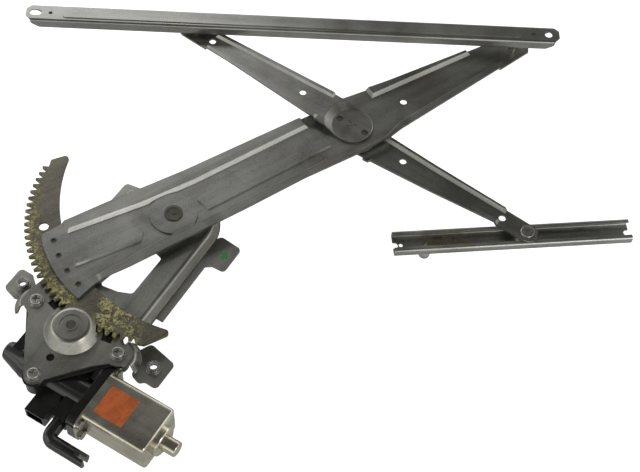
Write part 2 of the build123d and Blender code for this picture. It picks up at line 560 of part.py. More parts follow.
with BuildPart() as base_plate:
    with BuildSketch(level(0, 0, PAN_Z)):
        Circle(PAN_R - WALL_INSET)
        add(rounded_face(PAN_EDGE, PAN_CORNER))
        with Locations(SCREWS[0], SCREWS[2]):
            Circle(LOBE_R - WALL_INSET)
        with Locations(SCREWS[1]):
            Circle(CORNER_LOBE_R)
    extrude(amount=BASE_SHEET)
    with BuildSketch(cross_section(0, 0, 0, WALL_TURN)):
        add(drawn_wall(PAN_R, FLANGE_OUT - PAN_R - WALL_RUN - WALL_RIM))
    extrude(amount=FLANGE_TO)
    with BuildSketch(cross_section(0, 0, 0, WALL_TURN)):
        add(drawn_wall(PAN_R))
    extrude(amount=WALL_TO)
    for centre, radius, first, swept in WALL_SWEEPS:
        with BuildSketch(upright(*centre, first)):
            add(drawn_wall(radius))
        revolve(axis=vertical_axis(*centre), revolution_arc=swept)
    with BuildSketch(level(0, 0, 0)):
        for tab in TABS:
            add(rounded_face(tab, TAB_CORNER))
    extrude(amount=BASE_SHEET)
    with BuildSketch(level(0, 0, PAN_Z)):
        with Locations(PINION):
            Circle(DOME_BASE_R + WALL_LAP - WALL_INSET)
        Circle(PIVOT_R)
        with Locations(*SCREWS):
            Circle(SCREW_R + SCREW_CLEARANCE)
        with Locations(PAN_HOLE):
            Circle(PAN_HOLE_R)
        add(rounded_face(WINDOW, WINDOW_CORNER))
    extrude(amount=BASE_SHEET, mode=Mode.SUBTRACT)
    with BuildSketch(level(0, 0, PAN_Z)):
        with BuildLine():
            near_left = polar(SLOT_INNER_R, PINION_ANGLE - SLOT_REACH)
            near_right = polar(SLOT_INNER_R, PINION_ANGLE + SLOT_REACH)
            far_left = polar(SLOT_OUTER_R, PINION_ANGLE - SLOT_REACH)
            far_right = polar(SLOT_OUTER_R, PINION_ANGLE + SLOT_REACH)
            ThreePointArc(near_left, polar(SLOT_INNER_R, PINION_ANGLE), near_right)
            Line(near_right, far_right)
            ThreePointArc(far_right, polar(SLOT_OUTER_R, PINION_ANGLE), far_left)
            Line(far_left, near_left)
        make_face()
    extrude(amount=BASE_SHEET, mode=Mode.SUBTRACT)
    add(dome.part)
    with BuildSketch(level(0, 0, 0)):
        with Locations(*DOOR_BOLTS):
            Circle(BOLT_BORE_R)
    extrude(amount=BASE_SHEET, mode=Mode.SUBTRACT)
save(base_plate.part, "base_plate")

with BuildPart() as weld_nuts:
    with BuildSketch(level(0, 0, BASE_SHEET)):
        with Locations(*DOOR_BOLTS):
            Circle(NUT_FLANGE_R)
    extrude(amount=NUT_FLANGE)
    with BuildSketch(level(0, 0, BASE_SHEET)):
        with Locations(*DOOR_BOLTS):
            Circle(NUT_COLLAR_R)
    extrude(amount=NUT_HEIGHT)
    with BuildSketch(level(0, 0, BASE_SHEET)):
        with Locations(*DOOR_BOLTS):
            Circle(BOLT_BORE_R)
    extrude(amount=NUT_HEIGHT, mode=Mode.SUBTRACT)
save(weld_nuts.part, "weld_nuts")

# Main pivot: a shouldered rivet through a flanged bush
HEAD_R, HEAD_HEIGHT, BUSH_R = 8.5, 2.5, 13.0
SPUN_HEAD_R, SPUN_HEAD, SPUN_DISH_R, SPUN_PIP_R = 7.8, 1.5, 5.2, 1.8
with BuildPart() as pivot_rivet:
    with BuildSketch(level(0, 0, PAN_Z)):
        Circle(PIVOT_R)
    extrude(amount=LIFT_TOP + EMBOSS_RISE + PAD_GAP - PAN_Z)
    with BuildSketch(level(0, 0, PAN_Z - HEAD_HEIGHT)):
        Circle(HEAD_R)
    extrude(amount=HEAD_HEIGHT)
    with BuildSketch(level(0, 0, LIFT_TOP + EMBOSS_RISE + PAD_GAP)):
        Circle(SPUN_HEAD_R)
    extrude(amount=SPUN_HEAD)
    fillet(pivot_rivet.edges().group_by(Axis.Z)[-1], SPUN_HEAD / 2)
    with BuildSketch(level(0, 0, LIFT_TOP + EMBOSS_RISE + PAD_GAP + SPUN_HEAD)):
        Circle(SPUN_DISH_R)
        Circle(SPUN_PIP_R, mode=Mode.SUBTRACT)
    extrude(amount=-PRESS_DIMPLE, mode=Mode.SUBTRACT)
save(pivot_rivet.part, "pivot_rivet")
with BuildPart() as pivot_bush:
    with BuildSketch(level(0, 0, PAN_TOP)):
        Circle(BUSH_R)
        Circle(PIVOT_R, mode=Mode.SUBTRACT)
    extrude(amount=LIFT_Z + EMBOSS_RISE - PAD_GAP - PAN_TOP)
save(pivot_bush.part, "pivot_bush")

# Worm drive. The motor lies along its own direction, measured from the main pivot.
MOTOR_TURN = -30.0
WHEEL_TEETH, WHEEL_MODULE, WORM_PITCH_R = 56, 1.05, 4.9
WHEEL_TIP_R = WHEEL_MODULE * (WHEEL_TEETH / 2 + 1)
WHEEL_ROOT_R = WHEEL_MODULE * (WHEEL_TEETH / 2 - 1.25)
PINION_T = PINION[0] * cos(radians(MOTOR_TURN)) + PINION[1] * sin(radians(MOTOR_TURN))
PINION_N = PINION[1] * cos(radians(MOTOR_TURN)) - PINION[0] * sin(radians(MOTOR_TURN))
WORM_N = PINION_N - WHEEL_MODULE * WHEEL_TEETH / 2 - WORM_PITCH_R
WORM_Z = -8.0
COVER_SHEET = 1.8
HOUSING_TOP = PAN_Z - COVER_SHEET
HOUSING_BOTTOM = -22.0
WHEEL_SIDE_GAP, HOUSING_WALL, CAVITY_FLOOR = 1.15, 2.4, -13.0
CAVITY_R = WHEEL_TIP_R + WHEEL_SIDE_GAP
HOUSING_R = CAVITY_R + HOUSING_WALL
HOUSING_EDGE = 1.5
FLOOR_STEP = 4.0
WHEEL_WIDTH = 8.0
WHEEL_Z = WORM_Z - WHEEL_WIDTH / 2
# Half widths of a wheel tooth at its root and its tip, as shares of the tooth pitch
WHEEL_TOOTH_ROOT, WHEEL_TOOTH_TIP = 0.36, 0.14
DAMPER_R, SHAFT_R = 12.0, 5.0
PINION_TIP, PINION_OVERHANG, PIN_END_GAP = 0.8, 1.2, 0.2
BOSS_R, BOSS_Z, BOSS_FLOOR, COVER_LOBE_R = 8.0, -6.0, 2.0, 9.3
TUBE_R, WORM_BORE_R, ARMATURE_SHAFT_R = 14.0, 6.6, 3.5
ROD_END_R, ROD_START, TUBE_START, TUBE_END, FRAME_END = 7.5, -48.8, -27.0, 33.0, 41.0
ROD_END_ROUND, BORE_END = 3.0, 2.0
CAN_LENGTH, CAN_R, CAN_WIDTH, CAN_THICK, CAN_WALL, CAN_ROUND = 59.0, 26.0, 44.0, 34.0, 1.6, 4.2
CAN_END = FRAME_END + CAN_LENGTH
CAN_END_WALL = 3.2
STEP_R, STEP_LENGTH, CAN_BOSS_R, CAN_BOSS_LENGTH = 13.0, 5.0, 6.6, 12.0
STEP_END = CAN_END + STEP_LENGTH
CAN_BOSS_END = STEP_END + CAN_BOSS_LENGTH
BOSS_WALL, BOSS_ROUND, STEP_ROUND = 1.2, 1.4, 2.0
EAR_N, EAR_Z, EAR_R, EAR_SHEET = 26.0, 9.0, 5.0, 1.6
EARS = [(side * EAR_N, up * EAR_Z) for side in (-1, 1) for up in (-1, 1)]
EAR_SCREW_R, EAR_SCREW_IN, EAR_HEAD_R, EAR_HEAD = 2.0, 2.0, 3.8, 2.4
FRAME_GAP, FRAME_CLEAR, FRAME_BORE_R = 0.3, 6.0, 12.0
VENT_T, VENT_R, VENT_START, VENT_ELBOW, VENT_END = 25.5, 5.75, -184.0, -213.0, 62.0
VENT_BEND, VENT_WALL, FORK_LENGTH, FORK_WIDTH = 6.4, 1.3, 9.0, 3.2
SOCKET_WALL, SOCKET_DEPTH = 1.5, 16.0
SOCKET_T, SOCKET_N, SOCKET_WIDTH, SOCKET_LENGTH = 7.0, -204.0, 18.0, 26.0
SOCKET_BOTTOM, SOCKET_HEIGHT, SOCKET_ROUND = -14.0, 13.0, 2.5
PIN_SPACING, PIN_WIDTH, PIN_LENGTH, PIN_THICK = 6.0, 2.2, 12.0, 1.0
BLOCK_FROM, BLOCK_TO, BLOCK_N, BLOCK_TOP, BLOCK_BOTTOM = 19.0, 30.0, -197.0, 0.5, -18.0


def motor_point(t, n):
    heading, left = polar(1, MOTOR_TURN), polar(1, MOTOR_TURN + 90)
    return (t * heading[0] + n * left[0], t * heading[1] + n * left[1])


MOTOR_AXIS = Axis((0, 0, 0), (*polar(1, MOTOR_TURN), 0))


def motor_level(z):
    return level(0, 0, z, MOTOR_TURN)


def motor_section(t):
    """Plane square to the armature's axis, centred on it."""
    return cross_section(*motor_point(t, WORM_N), WORM_Z, MOTOR_TURN)


worm_axis = Axis(motor_section(0).origin, motor_section(0).z_dir)


with BuildPart() as output_pinion:
    with BuildSketch(level(*PINION, CAVITY_FLOOR)):
        Circle(SHAFT_R)
    extrude(amount=DOME_TOP - BASE_SHEET - PIN_END_GAP - CAVITY_FLOOR)
    with BuildSketch(level(*PINION, SECTOR_Z - PINION_OVERHANG)):
        pinion_radii = [PINION_PITCH_R - 1.25 * MODULE, PINION_PITCH_R - 0.3 * MODULE,
                        PINION_PITCH_R, PINION_PITCH_R + PINION_TIP * MODULE]
        mesh_tooth = (PINION_ANGLE - FIRST_TOOTH) % 360 / TOOTH_STEP
        phase = PINION_ANGLE + 180 + (mesh_tooth % 1 - 0.5) * 360 / PINION_TEETH
        pinion_points = []
        for tooth in range(PINION_TEETH):
            pinion_points += tooth_points(PINION_TEETH, phase + tooth * 360 / PINION_TEETH,
                                          pinion_radii)
        Polygon(*pinion_points, align=None)
    extrude(amount=SECTOR_SHEET + 2 * PINION_OVERHANG)
    with BuildSketch(level(*PINION, DOME_TOP - BASE_SHEET - PIN_END_GAP)):
        Circle(PINION_PIN_R)
    extrude(amount=BASE_SHEET + 2 * PIN_END_GAP)
save(output_pinion.part, "output_pinion")

with BuildPart() as worm_wheel:
    with BuildSketch(level(*PINION, WHEEL_Z)):
        wheel_points = []
        for tooth in range(WHEEL_TEETH):
            centre = tooth * 360 / WHEEL_TEETH
            for radius, part_of_pitch in ((WHEEL_ROOT_R, -WHEEL_TOOTH_ROOT),
                                          (WHEEL_TIP_R, -WHEEL_TOOTH_TIP),
                                          (WHEEL_TIP_R, WHEEL_TOOTH_TIP),
                                          (WHEEL_ROOT_R, WHEEL_TOOTH_ROOT)):
                wheel_points.append(polar(radius, centre + part_of_pitch * 360 / WHEEL_TEETH))
        Polygon(*wheel_points, align=None)
        Circle(DAMPER_R, mode=Mode.SUBTRACT)
    extrude(amount=WHEEL_WIDTH)
save(worm_wheel.part, "worm_wheel")
with BuildPart() as wheel_damper:
    with BuildSketch(level(*PINION, WHEEL_Z)):
        Circle(DAMPER_R)
        Circle(SHAFT_R, mode=Mode.SUBTRACT)
    extrude(amount=WHEEL_WIDTH)
save(wheel_damper.part, "wheel_damper")

with BuildPart() as gear_housing:
    with BuildSketch(level(*PINION, HOUSING_BOTTOM)):
        Circle(HOUSING_R)
    extrude(amount=HOUSING_TOP - HOUSING_BOTTOM)
    with BuildSketch(motor_level(HOUSING_BOTTOM)):
        Polygon((PINION_T - HOUSING_R, PINION_N), (PINION_T - HOUSING_R, WORM_N),
                (PINION_T + HOUSING_R, WORM_N), (PINION_T + HOUSING_R, PINION_N), align=None)
    extrude(amount=HOUSING_TOP - FLOOR_STEP - HOUSING_BOTTOM)
    fillet(gear_housing.edges().group_by(Axis.Z)[0], HOUSING_EDGE)
    with BuildSketch(level(0, 0, BOSS_Z)):
        for screw in SCREWS:
            dx, dy = screw[0] - PINION[0], screw[1] - PINION[1]
            reach = Vector(dx, dy).length
            turn = Vector(1, 0).get_signed_angle(Vector(dx, dy), Vector(0, 0, 1))
            with Locations(Location(((screw[0] + PINION[0]) / 2, (screw[1] + PINION[1]) / 2, 0),
                                    (0, 0, turn))):
                SlotCenterToCenter(reach, 2 * BOSS_R)
    extrude(amount=HOUSING_TOP - BOSS_Z)
    with BuildSketch(Plane(motor_section(ROD_START).origin, x_dir=motor_section(0).z_dir,
                           z_dir=motor_section(0).x_dir)) as worm_tube:
        Polygon((0, 0), (0, ROD_END_R), (TUBE_START - ROD_START, TUBE_R),
                (TUBE_END - ROD_START, TUBE_R), (TUBE_END - ROD_START, 0), align=None)
        fillet(worm_tube.vertices().sort_by_distance((0, ROD_END_R))[0], ROD_END_ROUND)
    revolve(axis=worm_axis)
    with BuildSketch(motor_level(SOCKET_BOTTOM)):
        with Locations((SOCKET_T, SOCKET_N)):
            Rectangle(SOCKET_WIDTH, SOCKET_LENGTH, align=(Align.CENTER, Align.MIN))
    extrude(amount=SOCKET_HEIGHT)
    with BuildSketch(motor_level(BLOCK_BOTTOM)):
        Polygon((BLOCK_FROM, WORM_N), (BLOCK_FROM, BLOCK_N), (BLOCK_TO, BLOCK_N),
                (BLOCK_TO, WORM_N), align=None)
    extrude(amount=BLOCK_TOP - BLOCK_BOTTOM)
    with BuildSketch(cross_section(*motor_point(SOCKET_T, SOCKET_N),
                                   SOCKET_BOTTOM + SOCKET_HEIGHT / 2, MOTOR_TURN + 90)):
        RectangleRounded(SOCKET_WIDTH - 2 * SOCKET_WALL, SOCKET_HEIGHT - 2 * SOCKET_WALL,
                         SOCKET_ROUND - SOCKET_WALL)
    extrude(amount=SOCKET_DEPTH, mode=Mode.SUBTRACT)
    with BuildSketch(level(*PINION, CAVITY_FLOOR)):
        Circle(CAVITY_R)
    extrude(amount=HOUSING_TOP - CAVITY_FLOOR, mode=Mode.SUBTRACT)
    with BuildSketch(motor_section(ROD_START + BORE_END)):
        Circle(WORM_BORE_R)
    extrude(amount=TUBE_END - ROD_START - BORE_END, mode=Mode.SUBTRACT)
    with BuildSketch(motor_section(TUBE_END)):
        Rectangle(2 * (EAR_N + EAR_R + FRAME_GAP), CAN_THICK + 2 * FRAME_GAP)
    extrude(amount=FRAME_END - TUBE_END + FRAME_CLEAR, mode=Mode.SUBTRACT)
    with BuildSketch(cross_section(*motor_point(VENT_T, VENT_START), WORM_Z, MOTOR_TURN - 90)):
        Circle(VENT_R)
    extrude(amount=VENT_START - BLOCK_N, mode=Mode.SUBTRACT)
    with BuildSketch(level(0, 0, BOSS_Z + BOSS_FLOOR)):
        with Locations(*SCREWS):
            Circle(SCREW_R)
    extrude(amount=HOUSING_TOP - BOSS_Z - BOSS_FLOOR, mode=Mode.SUBTRACT)
save(gear_housing.part, "gear_housing")

with BuildPart() as gear_cover:
    with BuildSketch(level(0, 0, HOUSING_TOP)):
        with Locations(PINION):
            Circle(HOUSING_R)
        with Locations(*SCREWS):
            Circle(BOSS_R)
        make_hull()
        with Locations(SCREWS[1]):
            Circle(COVER_LOBE_R)
        with Locations(*SCREWS):
            Circle(SCREW_R + SCREW_CLEARANCE, mode=Mode.SUBTRACT)
        with Locations(PINION):
            Circle(SHAFT_R + RUNNING, mode=Mode.SUBTRACT)
    extrude(amount=COVER_SHEET)
save(gear_cover.part, "gear_cover")

WASHER_R, WASHER, SCREW_HEAD_R, SCREW_HEAD, HEAD_ROUND = 6.3, 1.0, 4.8, 3.0, 1.0
CROSS_LENGTH, CROSS_WIDTH, CROSS_DEPTH = 6.0, 1.3, 1.8
with BuildPart() as motor_screws:
    for screw in SCREWS:
        with BuildSketch(level(*screw, BOSS_Z + BOSS_FLOOR)):
            Circle(SCREW_R)
        extrude(amount=PAN_TOP - BOSS_Z - BOSS_FLOOR)
        with BuildSketch(level(*screw, PAN_TOP)):
            Circle(WASHER_R)
        extrude(amount=WASHER)
        with BuildSketch(level(*screw, PAN_TOP + WASHER)):
            Circle(SCREW_HEAD_R)
        extrude(amount=SCREW_HEAD)
    fillet(motor_screws.edges().group_by(Axis.Z)[-1], HEAD_ROUND)
    for screw in SCREWS:
        with BuildSketch(level(*screw, PAN_TOP + WASHER + SCREW_HEAD)):
            Rectangle(CROSS_LENGTH, CROSS_WIDTH)
            Rectangle(CROSS_WIDTH, CROSS_LENGTH)
        extrude(amount=-CROSS_DEPTH, mode=Mode.SUBTRACT)
save(motor_screws.part, "motor_screws")

with BuildPart() as end_frame:
    with BuildSketch(motor_section(TUBE_END)):
        Rectangle(CAN_WIDTH, CAN_THICK - EAR_SHEET)
        with Locations(*EARS):
            Circle(EAR_R)
        make_hull()
        Circle(FRAME_BORE_R, mode=Mode.SUBTRACT)
    extrude(amount=FRAME_END - TUBE_END)
    with BuildSketch(motor_section(TUBE_END + EAR_SCREW_IN)):
        with Locations(*EARS):
            Circle(EAR_SCREW_R)
    extrude(amount=FRAME_END - TUBE_END - EAR_SCREW_IN, mode=Mode.SUBTRACT)
save(end_frame.part, "end_frame")


def double_d(inset=0.0):
    """Face of the can's flattened round section, smaller all round by the inset."""
    with BuildSketch() as section:
        Circle(CAN_R - inset)
        Rectangle(CAN_WIDTH - 2 * inset, CAN_THICK - 2 * inset, mode=Mode.INTERSECT)
        fillet(section.vertices(), CAN_ROUND - inset)
    return section.sketch


with BuildPart() as motor_can:
    with BuildSketch(motor_section(FRAME_END)):
        add(double_d())
    extrude(amount=CAN_LENGTH)
    fillet(motor_can.faces().sort_by(MOTOR_AXIS)[-1].edges(), CAN_ROUND - CAN_WALL)
    with BuildSketch(motor_section(FRAME_END)):
        add(double_d())
        with Locations(*EARS):
            Circle(EAR_R)
        make_hull()
    extrude(amount=EAR_SHEET)
    with BuildSketch(motor_section(CAN_END - CAN_WALL)):
        Circle(STEP_R)
    extrude(amount=STEP_END - CAN_END + CAN_WALL)
    fillet(motor_can.edges().sort_by(MOTOR_AXIS)[-1], STEP_ROUND)
    with BuildSketch(motor_section(STEP_END - CAN_WALL)):
        Circle(CAN_BOSS_R)
    extrude(amount=CAN_BOSS_END - STEP_END + CAN_WALL)
    fillet(motor_can.edges().sort_by(MOTOR_AXIS)[-1], BOSS_ROUND)
    with BuildSketch(motor_section(FRAME_END)):
        add(double_d(CAN_WALL))
    extrude(amount=CAN_LENGTH - CAN_END_WALL, mode=Mode.SUBTRACT)
    with BuildSketch(motor_section(CAN_END - 2 * CAN_END_WALL)):
        Circle(CAN_BOSS_R - BOSS_WALL)
    extrude(amount=CAN_BOSS_END - CAN_WALL - CAN_END + 2 * CAN_END_WALL, mode=Mode.SUBTRACT)
    with BuildSketch(motor_section(FRAME_END)):
        with Locations(*EARS):
            Circle(EAR_SCREW_R)
    extrude(amount=EAR_SHEET, mode=Mode.SUBTRACT)
save(motor_can.part, "motor_can")

with BuildPart() as can_screws:
    with BuildSketch(motor_section(TUBE_END + EAR_SCREW_IN)):
        with Locations(*EARS):
            Circle(EAR_SCREW_R)
    extrude(amount=FRAME_END + EAR_SHEET - TUBE_END - EAR_SCREW_IN)
    with BuildSketch(motor_section(FRAME_END + EAR_SHEET)):
        with Locations(*EARS):
            Circle(EAR_HEAD_R)
    extrude(amount=EAR_HEAD)
save(can_screws.part, "can_screws")

# Inside the motor
MAGNET_INNER_R, MAGNET_OUTER_R, MAGNET_HEIGHT, MAGNET_GAP = 15.6, 20.0, 26.0, 16.0
MAGNET_IN, MAGNET_LENGTH, CORE_IN, CORE_LENGTH, CORE_R = 8.0, 36.0, 9.0, 34.0, 14.6
COMMUTATOR_IN, COMMUTATOR_LENGTH, COMMUTATOR_R, BRUSH_GAP, BRUSH_IN = 1.5, 6.0, 8.0, 0.4, 1.0
SHAFT_END_GAP, BEARING_LENGTH = 0.2, 5.0
with BuildPart() as magnets:
    with BuildSketch(motor_section(FRAME_END + MAGNET_IN)):
        Circle(MAGNET_OUTER_R)
        Circle(MAGNET_INNER_R, mode=Mode.SUBTRACT)
        Rectangle(2 * MAGNET_OUTER_R, MAGNET_HEIGHT, mode=Mode.INTERSECT)
        Rectangle(MAGNET_GAP, CAN_THICK, mode=Mode.SUBTRACT)
    extrude(amount=MAGNET_LENGTH)
save(magnets.part, "magnets")

with BuildPart() as armature_shaft:
    with BuildSketch(motor_section(ROD_START + BORE_END + SHAFT_END_GAP)):
        Circle(ARMATURE_SHAFT_R)
    extrude(amount=CAN_BOSS_END - CAN_WALL - ROD_START - BORE_END - 2 * SHAFT_END_GAP)
save(armature_shaft.part, "armature_shaft")
for name, start, length, radius in (
        ("armature_core", FRAME_END + CORE_IN, CORE_LENGTH, CORE_R),
        ("commutator", TUBE_END + COMMUTATOR_IN, COMMUTATOR_LENGTH, COMMUTATOR_R)):
    with BuildPart() as rotor_piece:
        with BuildSketch(motor_section(start)):
            Circle(radius)
            Circle(ARMATURE_SHAFT_R, mode=Mode.SUBTRACT)
        extrude(amount=length)
    save(rotor_piece.part, name)
with BuildPart() as brush_holder:
    with BuildSketch(motor_section(TUBE_END + BRUSH_IN)):
        Circle(FRAME_BORE_R)
        Circle(COMMUTATOR_R + BRUSH_GAP, mode=Mode.SUBTRACT)
    extrude(amount=COMMUTATOR_LENGTH)
save(brush_holder.part, "brush_holder")
with BuildPart() as shaft_bearings:
    for start, radius in ((ROD_START + 2 * BORE_END, WORM_BORE_R),
                          (TUBE_END - BEARING_LENGTH - ROD_END_ROUND, WORM_BORE_R),
                          (STEP_END + BORE_END, CAN_BOSS_R - BOSS_WALL)):
        with BuildSketch(motor_section(start)):
            Circle(radius)
            Circle(ARMATURE_SHAFT_R + RUNNING, mode=Mode.SUBTRACT)
        extrude(amount=BEARING_LENGTH)
save(shaft_bearings.part, "shaft_bearings")
with BuildPart() as connector_pins:
    with BuildSketch(motor_level(SOCKET_BOTTOM + (SOCKET_HEIGHT - PIN_THICK) / 2)):
        with Locations((SOCKET_T, SOCKET_N + SOCKET_DEPTH)):
            with GridLocations(PIN_SPACING, 0, 2, 1):
                Rectangle(PIN_WIDTH, PIN_LENGTH, align=(Align.CENTER, Align.MAX))
    extrude(amount=PIN_THICK)
save(connector_pins.part, "connector_pins")

with BuildPart() as breather_tube:
    with BuildLine(motor_level(WORM_Z)):
        FilletPolyline((VENT_T, VENT_START), (VENT_T, VENT_ELBOW), (VENT_END, VENT_ELBOW),
                       radius=VENT_BEND)
    with BuildSketch(cross_section(*motor_point(VENT_T, VENT_START), WORM_Z, MOTOR_TURN - 90)):
        Circle(VENT_R)
    sweep()
    with BuildSketch(motor_level(WORM_Z - VENT_R)):
        with Locations((VENT_END, VENT_ELBOW)):
            Rectangle(FORK_LENGTH, FORK_WIDTH, align=(Align.MAX, Align.CENTER))
    extrude(amount=2 * VENT_R, mode=Mode.SUBTRACT)
save(breather_tube.part, "breather_tube")
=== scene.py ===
from math import atan2, cos, pi, radians, sin

import bmesh
import bpy
from mathutils import Matrix, Vector


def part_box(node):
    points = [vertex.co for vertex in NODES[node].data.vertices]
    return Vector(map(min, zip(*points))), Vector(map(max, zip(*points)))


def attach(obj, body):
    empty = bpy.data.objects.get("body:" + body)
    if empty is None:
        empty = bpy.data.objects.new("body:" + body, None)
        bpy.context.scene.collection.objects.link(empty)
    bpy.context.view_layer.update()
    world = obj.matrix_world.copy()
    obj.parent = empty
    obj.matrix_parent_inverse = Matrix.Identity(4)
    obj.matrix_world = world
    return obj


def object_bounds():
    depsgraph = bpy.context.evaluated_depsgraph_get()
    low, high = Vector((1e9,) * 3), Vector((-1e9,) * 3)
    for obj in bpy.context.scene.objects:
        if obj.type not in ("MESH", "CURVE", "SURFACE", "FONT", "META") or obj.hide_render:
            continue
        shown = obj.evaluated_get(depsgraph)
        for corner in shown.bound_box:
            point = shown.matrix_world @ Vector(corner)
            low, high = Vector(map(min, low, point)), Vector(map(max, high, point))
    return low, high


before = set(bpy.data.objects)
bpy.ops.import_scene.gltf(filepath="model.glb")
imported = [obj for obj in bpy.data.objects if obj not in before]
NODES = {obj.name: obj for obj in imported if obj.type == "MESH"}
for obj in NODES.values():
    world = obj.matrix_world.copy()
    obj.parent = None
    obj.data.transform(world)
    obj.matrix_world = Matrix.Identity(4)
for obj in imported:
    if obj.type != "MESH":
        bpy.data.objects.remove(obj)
CAD_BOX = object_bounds()
CENTRE = (CAD_BOX[0] + CAD_BOX[1]) / 2
MM = 0.001


def middle(node):
    low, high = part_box(node)
    return (low + high) / 2


# Places in the shared frame, in metres, from the nodes themselves
PIVOT = middle("pivot_rivet")
CROSS = middle("cross_hub")
GUIDE_END = middle("guide_stud")
LIFT_DIRECTION = (CROSS - PIVOT).normalized()

# Directions seen from above; the motor's and the channel's are those of the part's source
LIFT_TURN = atan2(LIFT_DIRECTION.y, LIFT_DIRECTION.x)
MOTOR_TURN = radians(-30)
GUIDE_TURN = radians(6.3)

# Camera at the photograph's view, fitted to points of the object
AZIMUTH, ELEVATION, ROLL = radians(-3.7899), radians(56.6205), radians(5.3522)
DISTANCE, LENS, SENSOR = 1.08205, 72.14, 36.0
AIM_SHIFT, AIM_HEIGHT = Vector((0.12425, -0.01513, 0)), 0.0153
TARGET = PIVOT + AIM_SHIFT
TARGET.z = AIM_HEIGHT


def make_camera():
    back = Vector((sin(AZIMUTH) * cos(ELEVATION), -cos(AZIMUTH) * cos(ELEVATION), sin(ELEVATION)))
    right = Vector((cos(AZIMUTH), sin(AZIMUTH), 0))
    up = back.cross(right)
    rolled_right = cos(ROLL) * right + sin(ROLL) * up
    rolled_up = -sin(ROLL) * right + cos(ROLL) * up
    turn = Matrix((rolled_right, rolled_up, back)).transposed().to_4x4()
    data = bpy.data.cameras.new("camera")
    data.lens, data.sensor_width, data.sensor_fit = LENS, SENSOR, "HORIZONTAL"
    camera = bpy.data.objects.new("camera", data)
    camera.matrix_world = Matrix.Translation(TARGET + back * DISTANCE) @ turn
    bpy.context.scene.collection.objects.link(camera)
    bpy.context.scene.camera = camera


# Soft lamps: place from the middle of the part, side of the square and power in watts
LAMPS = {
    "key": ((0.85, -1.0, 0.75), 0.7, 5),
    "back": ((-0.5, 1.1, 0.9), 0.8, 3),
    "side": ((-1.1, -0.2, 0.8), 0.6, 1.6),
}
# Heights of the studio's bright wall and dark ceiling, as shares of a unit sphere, and their light
HORIZON, CEILING, HORIZON_LIGHT, CEILING_LIGHT = 0.15, 0.70, 1.3, 0.085
STUDIO_COLOUR, WHITE = (1.0, 0.99, 0.96, 1), (1, 1, 1, 1)
# White floor below the part, lit from itself where the camera sees it
FLOOR_REACH, FLOOR_DROP = 6.0, 0.012
FLOOR_COLOUR, FLOOR_ROUGHNESS, FLOOR_GLOW = (0.9, 0.9, 0.9, 1), 0.9, 0.86


def make_lamps():
    for name, (shift, side, watts) in LAMPS.items():
        data = bpy.data.lights.new(name, "AREA")
        data.shape, data.size, data.energy = "SQUARE", side, watts
        lamp = bpy.data.objects.new(name, data)
        lamp.location = CENTRE + Vector(shift)
        lamp.rotation_euler = (CENTRE - lamp.location).to_track_quat("-Z", "Y").to_euler()
        bpy.context.scene.collection.objects.link(lamp)


def make_world():
    """Studio lit by the height of each direction; the camera itself sees plain white."""
    world = bpy.data.worlds.new("studio")
    world.use_nodes = True
    tree = world.node_tree
    studio = tree.nodes["Background"]
    studio.inputs["Color"].default_value = STUDIO_COLOUR
    place = tree.nodes.new("ShaderNodeTexCoord")
    split = tree.nodes.new("ShaderNodeSeparateXYZ")
    fade = tree.nodes.new("ShaderNodeMapRange")
    fade.interpolation_type = "SMOOTHSTEP"
    for socket, value in zip(fade.inputs[1:5], (HORIZON, CEILING, HORIZON_LIGHT, CEILING_LIGHT)):
        socket.default_value = value
    tree.links.new(place.outputs["Generated"], split.inputs[0])
    tree.links.new(split.outputs["Z"], fade.inputs[0])
    tree.links.new(fade.outputs[0], studio.inputs["Strength"])
    white = tree.nodes.new("ShaderNodeBackground")
    white.inputs["Color"].default_value = WHITE
    path = tree.nodes.new("ShaderNodeLightPath")
    mix = tree.nodes.new("ShaderNodeMixShader")
    tree.links.new(path.outputs["Is Camera Ray"], mix.inputs["Fac"])
    tree.links.new(studio.outputs[0], mix.inputs[1])
    tree.links.new(white.outputs[0], mix.inputs[2])
    tree.links.new(mix.outputs[0], tree.nodes["World Output"].inputs["Surface"])
    bpy.context.scene.world = world


def make_floor():
    corners = [(-FLOOR_REACH, -FLOOR_REACH, 0), (FLOOR_REACH, -FLOOR_REACH, 0),
               (FLOOR_REACH, FLOOR_REACH, 0), (-FLOOR_REACH, FLOOR_REACH, 0)]
    mesh = bpy.data.meshes.new("floor")
    mesh.from_pydata(corners, [], [(0, 1, 2, 3)])
    floor = bpy.data.objects.new("floor", mesh)
    floor.location = (CENTRE.x, CENTRE.y, CAD_BOX[0].z - FLOOR_DROP)
    bpy.context.scene.collection.objects.link(floor)
    material = bpy.data.materials.new("floor_white")
    material.use_nodes = True
    tree = material.node_tree
    shader = tree.nodes["Principled BSDF"]
    shader.inputs["Base Color"].default_value = FLOOR_COLOUR
    shader.inputs["Roughness"].default_value = FLOOR_ROUGHNESS
    shader.inputs["Emission Color"].default_value = WHITE
    path = tree.nodes.new("ShaderNodeLightPath")
    glow = tree.nodes.new("ShaderNodeMath")
    glow.operation = "MULTIPLY"
    glow.inputs[1].default_value = FLOOR_GLOW
    tree.links.new(path.outputs["Is Camera Ray"], glow.inputs[0])
    tree.links.new(glow.outputs[0], shader.inputs["Emission Strength"])
    mesh.materials.append(material)


def make_stage():
    bpy.context.scene.view_settings.view_transform = "Standard"
    make_lamps()
    make_world()
    make_floor()


